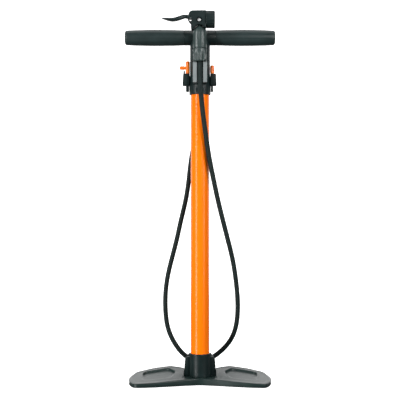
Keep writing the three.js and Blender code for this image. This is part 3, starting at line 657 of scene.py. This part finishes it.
# gauge housing, rounded, with the cavity for the gauge
TILT = math.radians(50)
NRM, UPH = Vector((0, math.sin(TILT), math.cos(TILT))), Vector((0, -math.cos(TILT), math.sin(TILT)))
FACE_M = Matrix(((1, 0, 0), (0, math.cos(TILT), math.sin(TILT)), (0, -math.sin(TILT), math.cos(TILT))))
GC = (0, 34, 34.6)
front_view = [(-29.5, 12.3), (29.5, 12.3), (28.9, 30), (28.0, 40.5), (26.6, 44), (23.4, 46.9), (20.5, 52.2), (-20.5, 52.2), (-23.4, 46.9), (-26.6, 44), (-28.0, 40.5), (-28.9, 30)]
house = slab("gauge_housing_shell", front_view, 3, 48.6, M["plastic"], "Y")
side = [(2.9, 12.2), (46, 12.2), (48.6, 17.2), (19.1, 52.3), (17.6, 52.4), (16.4, 47.4), (2.9, 47.3)]
mask = slab("tmp", side, -40, 40, M["plastic"], "X")
boolean(house, [mask], "INTERSECT")
bore = turned("tmp2", [(0, 0), (19.35, 0), (19.35, 70), (0, 70)], M["plastic"], seg=96)
cup = turned("tmp3", [(0, -4.5), (16, -4.5), (16, 20), (0, 20)], M["plastic"], at=GC, turn=FACE_M, seg=96)
well = turned("tmp4", [(0, -11.6), (6.8, -11.6), (6.8, 0), (0, 0)], M["plastic"], at=GC, turn=FACE_M, seg=56)
boolean(house, [bore, cup, well])
bevel(house, 0.8, 3, 25)
done(house, ROOT, "gauge_housing", slot="black_plastic")
done(turned("gauge_bezel_ring", rounded([(17, 2.3), (17, 3.3), (21, 3.3), (22, 2.5), (22, 0.8), (21.6, 0.3), (18.6, 0.3)], 0.35, 3) + [(18.6, 2.3)], M["trim"], at=GC, turn=FACE_M, seg=112, closed=True), ROOT, "gauge_bezel", slot="gauge_trim")


def dial():
    o = turned("gauge_dial_face", [(1.6, -4.2), (15.7, -4.2), (15.7, -3.35), (15.55, -3.2), (1.6, -3.2)], M["dial"], at=GC, turn=FACE_M, seg=96, closed=True)
    verts, faces = [], []
    for k in range(28):
        a = math.radians(45 - 270 * k / 27)  # along the sweep of the needle
        long = k % 3 == 0
        r0, r1, w = (11.4 if long else 12.6), 14.6, (0.34 if long else 0.17)
        n = len(verts)
        for z in (-3.21, -3.12):
            for r, s in ((r0, -w), (r1, -w), (r1, w), (r0, w)):
                p = Vector((r * math.cos(a) - s * math.sin(a), r * math.sin(a) + s * math.cos(a), z))
                verts.append(tuple(FACE_M @ p + Vector(GC)))
        faces += [tuple(n + i for i in f) for f in ((3, 2, 1, 0), (4, 5, 6, 7), (0, 1, 5, 4), (1, 2, 6, 5), (2, 3, 7, 6), (3, 0, 4, 7))]
    marks = make("gauge_dial_marks", verts, faces, M["ink"])
    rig.slot(marks, "dial_white")
    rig.ride(marks, ROOT)
    return o


done(dial(), ROOT, "gauge_dial", slot="dial_white")

# ---------------- barrel ----------------
done(turned("barrel_painted", [(15.6, 17.4), (15.6, 549), (16.6, 549), (17, 548.6), (17, 400), (17, 250), (17, 100), (17, 17.8), (16.6, 17.4)], M["paint"], seg=128, closed=True), ROOT, "barrel_tube", slot="orange_paint")

# ---------------- top cap ----------------
collar = turned("cap_collar_ring", rounded([(17.15, 532.2), (18.6, 532), (19.7, 532.4), (19.8, 536), (19.8, 549.6), (19.3, 550.9), (17.15, 551)], 0.5, 3), M["plastic"], seg=112, closed=True)
slots = [slab("tmp", [(s * 4.7, 536), (s * 7.2, 536), (s * 7.2, 543.5), (s * 4.7, 543.5)], -21, -18.4, M["plastic"], "Y") for s in (1, -1)]
boolean(collar, slots)
done(collar, ROOT, "cap_collar", slot="black_plastic")
done(turned("cap_body", [(15.3, 531), (15.3, 551.3)] + rounded([(15.3, 551.3), (18.5, 551.3), (18.5, 593.7), (9.3, 593.7)], 0.5, 3)[1:] + [(9.3, 582), (7.2, 582), (7.2, 556), (11, 552), (11, 531)], M["plastic"], seg=112, closed=True), ROOT, "barrel_cap", slot="black_plastic")
dock_plan = [(-13, -31.4), (-5.5, -31.4), (-5.5, -22.8), (5.5, -22.8), (5.5, -31.4), (13, -31.4)] + [(18.85 * math.sin(a), -18.85 * math.cos(a)) for a in np.linspace(math.asin(13 / 18.85), -math.asin(13 / 18.85), 16)]
# the flat front cheeks of the dock take the light grey with the painted reflection
dock = slab("chuck_dock_channel", dock_plan, 552, 589.6, M["dock_reflection_grey"], "Z", 0.9, 3)
done(dock, ROOT, "chuck_dock", slot="grey_plastic")


def pocket(name, sgn, outline, hole_x):
    o = slab(name, outline, -7.5, 7.5, M["plastic"], "Y", 1.6, 4)
    return boolean(o, [turned("tmp", [(0, 553), (3.05, 553), (3.05, 600), (0, 600)], M["plastic"], at=(hole_x, 0, 0), seg=40), turned("tmp", [(0, 500), (18.75, 500), (18.75, 620), (0, 620)], M["plastic"], seg=96)])


left = pocket("adapter_pocket_left", -1, [(-32.3, 549), (-18.9, 549), (-18.9, 571), (-31.2, 571), (-31.9, 560)], -22.7)
right = pocket("adapter_pocket_right", 1, [(18.9, 549), (30.6, 549), (30.2, 560), (29.5, 571), (18.9, 571)], 22.6)
band = turned("tmp", rounded([(20.1, 552), (22.4, 552), (22.4, 568), (20.1, 568)], 0.4, 2), M["plastic"], seg=96, closed=True)
boolean(band, [slab("tmp", [(-30, 500), (30, 500), (30, 600), (-30, 600)], -30, -4, M["plastic"], "Y")])
feet = [slab("tmp", [(-26, 538), (-20.15, 538), (-20.15, 552), (-26, 552)], -5, 5, M["plastic"], "Y", 0.9, 3), slab("tmp", [(20.15, 538), (24.4, 538), (24.4, 552), (20.15, 552)], -5, 5, M["plastic"], "Y", 0.9, 3), slab("tmp", [(-31, 568), (-27.6, 568), (-27.8, 576.8), (-30.6, 576.8)], -2.6, 2.6, M["plastic"], "Y", 0.5, 2)]
boolean(left, [right, band, *feet], "UNION")
boolean(left, [turned("tmp", [(0, 553), (3.05, 553), (3.05, 600), (0, 600)], M["plastic"], at=(x, 0, 0), seg=40) for x in (-22.7, 22.6)])
left.name = "adapter_holder_saddle"
done(left, ROOT, "adapter_holder", slot="black_plastic")
a = turned("ball_adapter_body", [(0, 554), (2.8, 554), (2.8, 571.6)] + rounded([(2.8, 571.6), (3.8, 571.9), (3.8, 593.2), (2.2, 594.6), (0, 594.6)], 1.5, 5)[1:], M["accent"], at=(-22.7, 0, 0), seg=48)
b = turned("tmp", rounded([(0, -37.6), (2.9, -37.6), (3.4, -35), (3.4, -30), (2.9, -28.5), (2.9, -24), (0, -24)], 1.2, 4), M["accent"], "X", at=(0, 0, 582.1), seg=40)
boolean(a, [b], "UNION")
done(a, "left_adapter", "ball_adapter", slot="orange_plastic")
done(turned("valve_adapter_body", [(0, 554), (2.8, 554), (2.8, 571.6), (3.4, 572)] + rounded([(3.4, 572), (3.85, 574), (3.85, 583.6), (2.8, 587), (0, 587)], 1.2, 4)[1:], M["accent"], at=(22.6, 0, 0), seg=72, wobble=lambda r, h, an: -0.3 * (0.5 + 0.5 * math.cos(9 * an)) if 573 < h < 584 else 0), "right_adapter", "valve_adapter", slot="orange_plastic")

# outlet and the boot of the hose at the back
elbow = turned("hose_outlet_elbow", rounded([(0, 549), (5.6, 549), (6.4, 550.5), (6.4, 567), (5.2, 571.4), (3, 572.6), (0, 572.6)], 1.2, 4), M["plastic"], at=(0, 31, 0), seg=56)
boolean(elbow, [turned("tmp", [(0, 15), (6.2, 15), (6.2, 31), (0, 31)], M["plastic"], "Y", at=(0, 0, 566), seg=56)], "UNION")
boolean(elbow, [turned("tmp", [(0, 500), (18.75, 500), (18.75, 620), (0, 620)], M["plastic"], seg=96)])
done(elbow, ROOT, "hose_outlet", slot="black_plastic")


def boot_profile(z0, z1, r0, r1, ribs, inner=4.55, depth=0.55):
    out = [(inner, z0), (r0 - 0.4, z0), (r0, z0 + 0.4)]
    n = ribs * 6
    for i in range(1, n):
        t = i / n
        z = z0 + 0.4 + (z1 - z0 - 0.8) * t
        groove = depth if i % 6 in (3, 4) and 0.08 < t < 0.82 else 0
        out.append((r0 + (r1 - r0) * t - groove, z))
    return out + [(r1, z1 - 0.4), (r1 - 0.4, z1), (inner, z1)]


rear_boot = turned("hose_boot_sleeve", boot_profile(526, 548.7, 5.5, 6.2, 6), M["rubber"], at=(0, 31, 0), seg=56, closed=True)
done(rear_boot, ROOT, "hose_boot_rear", slot="soft_rubber")

# ---------------- handle ----------------
hub = turned("handle_hub_body", [(6.4, 594.1)] + rounded([(6.4, 594.1), (18.5, 594.1), (18.5, 630), (17.6, 637), (14.6, 644), (8, 648.6), (0, 649.2)], 1.2, 4)[1:] + [(0, 629), (6.4, 629)], M["plastic"], seg=112)
cross = turned("tmp", rounded([(0, -29.6), (13.4, -29.6), (14, -29), (14, 29), (13.4, 29.6), (0, 29.6)], 0.3, 2), M["plastic"], "X", at=(0, 0, 637.8), seg=96)
boolean(hub, [cross], "UNION")
boolean(hub, [turned("tmp", [(0, -60), (8.5, -60), (8.5, 60), (0, 60)], M["plastic"], "X", at=(0, 0, 637.8), seg=64), turned("tmp", [(0, -30), (2.3, -30), (2.3, 30), (0, 30)], M["plastic"], "Y", at=(0, 0, 612), seg=32), turned("tmp", [(0, 590), (6.4, 590), (6.4, 632), (0, 632)], M["plastic"], seg=64)])
done(hub, "handle", "handle_hub", slot="black_plastic")


def grip(name, sgn):
    keys = np.array([[29.64, 13.75], [29.8, 13.95], [30.1, 14.0], [50, 14.55], [74, 14.85], [90, 14.85], [118, 14.3], [133, 13.6], [136, 13.3]])
    out = [(8.5, 29.64)]
    for x in [29.64, 29.8, 30.1, 30.6, 33] + list(np.linspace(36, 134, 50)):
        r = float(np.interp(x, keys[:, 0], keys[:, 1]))
        out.append((r, x))
    out += [(13.45, 135.2), (13.1, 136.6), (12.3, 137.7), (11.2, 138.4), (9.8, 138.75), (6, 138.6), (3, 138.3), (0, 138.2), (0, 134), (8.5, 134)]

    def soft_flats(r, h, a):
        # faint moulded grooves along the palm area
        if r < 12 or not 38 < h < 130:
            return 0.0
        fade = min(1, (h - 38) / 8, (130 - h) / 8)
        return -0.28 * fade * (0.5 + 0.5 * math.cos(10 * a)) ** 10

    o = turned(name, out, M["grip"], "X", at=(0, 0, 0), seg=140, closed=False, wobble=soft_flats)
    bm = bmesh.new()
    bm.from_mesh(o.data)
    if sgn < 0:
        bmesh.ops.rotate(bm, verts=bm.verts, matrix=Matrix.Rotation(math.pi, 3, "Z"), cent=(0, 0, 0))
    holes = [e for e in bm.edges if e.is_boundary]
    if holes:
        bmesh.ops.bridge_loops(bm, edges=holes)
    bmesh.ops.translate(bm, verts=bm.verts, vec=(0, 0, 0.6378))
    bmesh.ops.recalc_face_normals(bm, faces=bm.faces)
    bm.to_mesh(o.data)
    bm.free()
    shade(o.data, 35)
    return o


done(grip("grip_left_sleeve", -1), "handle", "grip_left", slot="grip_plastic")
done(grip("grip_right_sleeve", 1), "handle", "grip_right", slot="grip_plastic")

# ---------------- chuck ----------------
CY = -30.6
head_outline = [(-14.6, 647.0), (-13.4, 646.5), (-11.6, 648.9), (-9.4, 651.4), (-7.3, 653.3), (-5.0, 654.7), (-2.8, 655.5), (-0.6, 655.7), (1.6, 655.4), (3.8, 654.5), (6.0, 653.0), (8.0, 651.0), (9.6, 648.9), (10.5, 648.6), (10.82, 651), (10.82, 680.4), (10.3, 680.7), (-14, 680.4), (-16.6, 679.6), (-18.0, 678.6), (-19.4, 677), (-21.0, 673.0), (-22.1, 670), (-22.4, 667.6), (-22.0, 665), (-20.8, 662.2), (-18.8, 659.6), (-16.7, 657.4), (-16.5, 655), (-16.4, 650.2), (-15.8, 648.2)]
head = slab("chuck_head", head_outline, CY - 11.5, CY + 11.5, M["plastic"], "Y", 1.5, 4)
boolean(head, [
    turned("tmp", [(0, -11.2), (6.9, -11.2), (6.9, 20), (0, 20)], M["plastic"], "X", at=(0, CY, 666), seg=64),
    turned("tmp", [(0, -12.6), (3.4, -12.6), (3.4, 0), (0, 0)], M["plastic"], "X", at=(0, CY, 666), seg=40),
    slab("tmp", [(-30, 666.9), (-9, 666.9), (-9, 690), (-30, 690)], CY - 3.9, CY + 3.9, M["plastic"], "Y"),
    turned("tmp", [(0, -46), (1.6, -46), (1.6, -15), (0, -15)], M["plastic"], "Y", at=(-17, 0, 670.3), seg=32),
    slab("tmp", [(-20.3, 665.9), (-19.9, 664.4), (-18.6, 663.0), (-16.9, 662.7), (-15.7, 663.4), (-15.2, 665.2), (-15.9, 666.3), (-19.7, 666.4)], CY - 20, CY + 20, M["plastic"], "Y"),
    slab("tmp", [(-26, 656.2), (-16.6, 656.2), (-14.9, 658.5), (-14.9, 666.9), (-26, 666.9)], CY - 14, CY - 3.0, M["plastic"], "Y"),
    slab("tmp", [(-26, 656.2), (-16.6, 656.2), (-14.9, 658.5), (-14.9, 666.9), (-26, 666.9)], CY + 3.0, CY + 14, M["plastic"], "Y"),
    turned("tmp", [(0, CY - 15), (5.6, CY - 15), (5.6, CY - 11.4), (5.3, CY - 10.9), (5.3, CY - 8.4), (0, CY - 8.4)], M["plastic"], "Y", at=(-1.5, 0, 663.6), seg=56),
    turned("tmp", [(0, 640), (4.6, 640), (4.6, 656.8), (0, 656.8)], M["plastic"], at=(-0.4, CY, 0), seg=40),
])
done(head, "chuck", "chuck_body", slot="black_plastic")
done(turned("chuck_side_button", rounded([(0, CY - 11.2), (2.3, CY - 11.1), (3.1, CY - 10.5), (3.1, CY - 8.6), (0, CY - 8.6)], 0.5, 4), M["pin"], "Y", at=(-1.5, 0, 663.6), seg=56), "chuck", "chuck_side_pin", slot="steel")
neck = turned("chuck_neck_sleeve", [(0, 613.8)] + rounded([(0, 613.8), (0.955, 613.8), (1, 615.2), (1, 632), (0.985, 641), (0.9, 647), (0.72, 650.8), (0.5, 652.8), (0.34, 653.5), (0.34, 656.3), (0, 656.3)], 0.2, 3)[1:], M["grey"], at=(-0.4, CY, 0), seg=112, scale=(12.6, 10.6), wobble=lambda r, h, a: -0.12 * math.exp(-((math.cos(a)) / 0.2) ** 2) * (1 if math.sin(a) < 0 else 0) * max(0.0, 1 - abs(h - 634) / 19))
boolean(neck, [turned("tmp", [(0, 500), (19.1, 500), (19.1, 700), (0, 700)], M["grey"], seg=112)])
done(neck, "chuck", "chuck_neck", slot="grey_plastic")


def boot_rib(r, h, a):
    # lengthwise flutes that open towards the lower end
    if r < 0.5:
        return 0.0
    t = max(0.0, min(1.0, (609 - h) / 10)) * max(0.0, min(1.0, (h - 590.6) / 2.2))
    return -0.17 * t * (0.5 + 0.5 * math.cos(12 * a + 0.5)) ** 1.5


boot = turned("chuck_boot_sleeve", [(0.352, 590)] + [(0.9, 590), (0.945, 590.4), (0.985, 591.4)] + [(0.985 + 0.015 * min(1, (z - 592) / 6), z) for z in np.linspace(592, 611, 22)] + [(0.985, 612.2), (0.955, 613.3), (0.352, 613.4)], M["boot"], at=(-0.4, CY, 0), seg=168, scale=(13, 10.6), closed=True, wobble=boot_rib)
boolean(boot, [turned("tmp", [(0, 500), (19.1, 500), (19.1, 700), (0, 700)], M["grip"], seg=112)])
done(boot, "chuck", "chuck_boot", slot="soft_rubber")

nut_profile = rounded([(4.8, 26.9), (14.6, 27), (15.75, 26), (15.75, 11.5), (15.3, 10.9), (8.1, 10.9)], 0.7, 4)
nut = turned("valve_nut_ring", [(8.1, 24.2), (4.8, 24.2), (4.8, 26.9)] + [p for z0, z1 in [(0, 0)] for p in nut_profile[1:]], M["plastic"], "X", at=(0, CY, 666), seg=264, closed=True, wobble=lambda r, h, a: -0.9 * (0.5 + 0.5 * math.tanh(4 * math.cos(22 * a))) if r > 14 and 12.2 < h < 25.6 else 0)
done(nut, "nut", "valve_nut", slot="black_plastic")
done(turned("chuck_seal_ring", rounded([(3.4, 14), (7.7, 14), (7.7, 23.9), (3.4, 23.9)], 0.5, 3) + [(3.4, 20)], M["rubber"], "X", at=(0, CY, 666), seg=64, closed=True), "chuck", "chuck_seal", slot="soft_rubber")


def lever():
    """A lofted paddle: the centre line, the thickness and the width along it."""
    rows = [(-17.0, 670.3, 5.9, 6.8), (-20.5, 670.5, 6.2, 6.8), (-24.0, 670.8, 6.9, 6.9), (-28.0, 671.1, 7.0, 7.1), (-32.9, 669.9, 7.9, 9.6), (-38.3, 668.0, 7.6, 11.8), (-44.0, 666.4, 6.9, 12.6), (-50.0, 665.5, 6.3, 13.0), (-56.0, 665.8, 5.1, 13.0), (-61.5, 666.6, 3.7, 12.4), (-65.8, 667.5, 2.5, 11.2), (-68.4, 668.1, 1.6, 8.8), (-69.4, 668.4, 0.8, 5.6)]
    rows, _ = spline([list(r) for r in rows], 60)
    verts, faces, k = [], [], 28
    for i, (x, z, th, w) in enumerate(rows):
        for j in range(k):
            a = 2 * math.pi * j / k
            c, s = math.cos(a), math.sin(a)
            e = 0.55
            yy = w / 2 * abs(c) ** e * (1 if c > 0 else -1)
            zz = th / 2 * abs(s) ** e * (1 if s > 0 else -1)
            verts.append((x, CY + yy, z + zz))
    for i in range(len(rows) - 1):
        for j in range(k):
            q = (j + 1) % k
            faces.append((i * k + j, i * k + q, (i + 1) * k + q, (i + 1) * k + j))
    n = (len(rows) - 1) * k
    faces += [tuple(range(k))[::-1], tuple(range(n, n + k))]
    o = make("chuck_lever_paddle", verts, faces, M["plastic"], 50)
    hub_ = turned("tmp", rounded([(0, CY - 3.5), (3.2, CY - 3.5), (3.2, CY + 3.5), (0, CY + 3.5)], 0.4, 2), M["plastic"], "Y", at=(-17, 0, 670.3), seg=48)
    lobe = slab("tmp", [(-19.4, 670.3), (-14.6, 670.3), (-14.6, 677.2), (-15.4, 678), (-18.6, 678), (-19.4, 677.2)], CY - 3.5, CY + 3.5, M["plastic"], "Y", 0.4, 2)
    boolean(o, [hub_, lobe], "UNION")
    boolean(o, [turned("tmp", [(0, -46), (1.6, -46), (1.6, -15), (0, -15)], M["plastic"], "Y", at=(-17, 0, 670.3), seg=32)])
    shade(o.data, 45)
    return o


done(lever(), "lever", "chuck_lever", slot="black_plastic")

# ---------------- CAD nodes that stay, with better materials ----------------
LOOKS = {
    "steel": ["base_screw_1", "base_screw_2", "base_screw_3", "base_screw_4", "valve_retainer", "piston_rod", "piston_screw", "hub_pin", "handle_tube"],
    "rubber": ["foot_pad_front_left", "foot_pad_front_right", "foot_pad_rear_left", "foot_pad_rear_right", "valve_block_seal", "piston_seal"],
    "alu": ["inner_cylinder", "valve_block", "chuck_plunger"],
    "brass": ["gauge_movement", "check_valve_poppet", "rod_bush"],
    "plastic": ["piston", "lever_pin"],
    "needle": ["gauge_needle"],
    "glass": ["gauge_lens"],
}
for look, names in LOOKS.items():
    for name in names:
        o = bpy.data.objects.get(name)
        if o is None:
            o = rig.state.nodes[name]
        for s in o.material_slots:
            s.material = M[look]
        if not o.material_slots:
            o.data.materials.append(M[look])

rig.cord(hose, exit=(0, 0.031, 0.526), length=hose_len, diameter=0.009, far_end="fitting", stiffness="medium", lay="hanging", path=(route / 1000).tolist(), with_pieces=[rear_boot, boot])

# ---------------- floor ----------------
me = bpy.data.meshes.new("floor")
me.from_pydata([(-6, -4, 0), (6, -4, 0), (6, 1.6, 0), (-6, 1.6, 0)], [], [(0, 1, 2, 3)])
me.materials.append(floor_m)
ground = bpy.data.objects.new("floor", me)
bpy.context.scene.collection.objects.link(ground)
ground.visible_diffuse = ground.visible_glossy = ground.visible_shadow = False
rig.stage(ground)
sweep = [(1.6 + 0.9 * math.sin(t), 0.9 - 0.9 * math.cos(t)) for t in np.linspace(0, math.pi / 2, 17)] + [(2.5, 3.6)]
bv = [(x, y, z) for y, z in sweep for x in (-6, 6)]
bmesh_ = bpy.data.meshes.new("backdrop")
bmesh_.from_pydata(bv, [], [(2 * i, 2 * i + 1, 2 * i + 3, 2 * i + 2) for i in range(len(sweep) - 1)])
bmesh_.materials.append(back_m)
backdrop = bpy.data.objects.new("backdrop", bmesh_)
bpy.context.scene.collection.objects.link(backdrop)
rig.stage(backdrop)

bpy.context.view_layer.update()
with open("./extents.json", "w") as f:
    json.dump({"cad": cad_box, "visual": [list(map(float, c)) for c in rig.bounds()], "hose_m": hose_len}, f)
